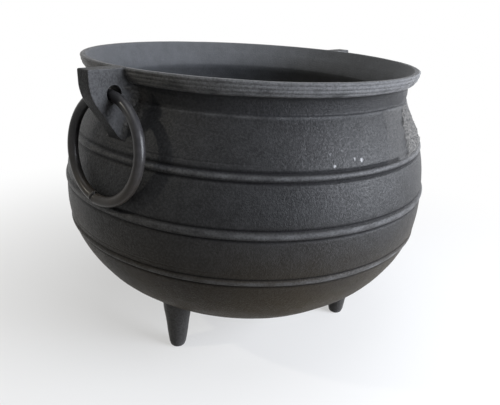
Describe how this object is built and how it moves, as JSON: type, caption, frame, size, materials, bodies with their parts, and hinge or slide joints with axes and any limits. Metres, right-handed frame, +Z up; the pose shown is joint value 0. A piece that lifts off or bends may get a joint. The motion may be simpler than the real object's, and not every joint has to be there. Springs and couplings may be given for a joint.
{
  "type": "cast iron pot",
  "caption": "Round-bellied cast iron cooking pot on short tapered legs, with a flared rim, raised bands and loose ring handles hanging from ears at the rim.",
  "frame": {"origin": "on the floor under the middle of the pot, on its axis", "axes": "+Z up along the pot's axis, X through the two ears, Y across them"},
  "size_m": [0.547, 0.5198, 0.407],
  "materials": {
    "casting": "blackened sand-cast iron, satin, with a fine grain",
    "ring_bar": "blackened round bar, smooth and slightly worn"
  },
  "bodies": {
    "pot": {"bowl": "casting", "ear_left": "casting", "ear_right": "casting", "leg_left": "casting", "leg_front": "casting", "leg_back": "casting"},
    "ring_left": {"ring_left": "ring_bar"},
    "ring_right": {"ring_right": "ring_bar"}
  },
  "joints": [
    {"name": "ring_left_swing", "type": "hinge", "parent": "pot", "child": "ring_left", "pos_m": [-0.2435, 0, 0.3805], "axis": [0, 1, 0], "range_deg": [0, 195]},
    {"name": "ring_right_swing", "type": "hinge", "parent": "pot", "child": "ring_right", "pos_m": [0.2435, 0, 0.3805], "axis": [0, -1, 0], "range_deg": [0, 195]}
  ]
}
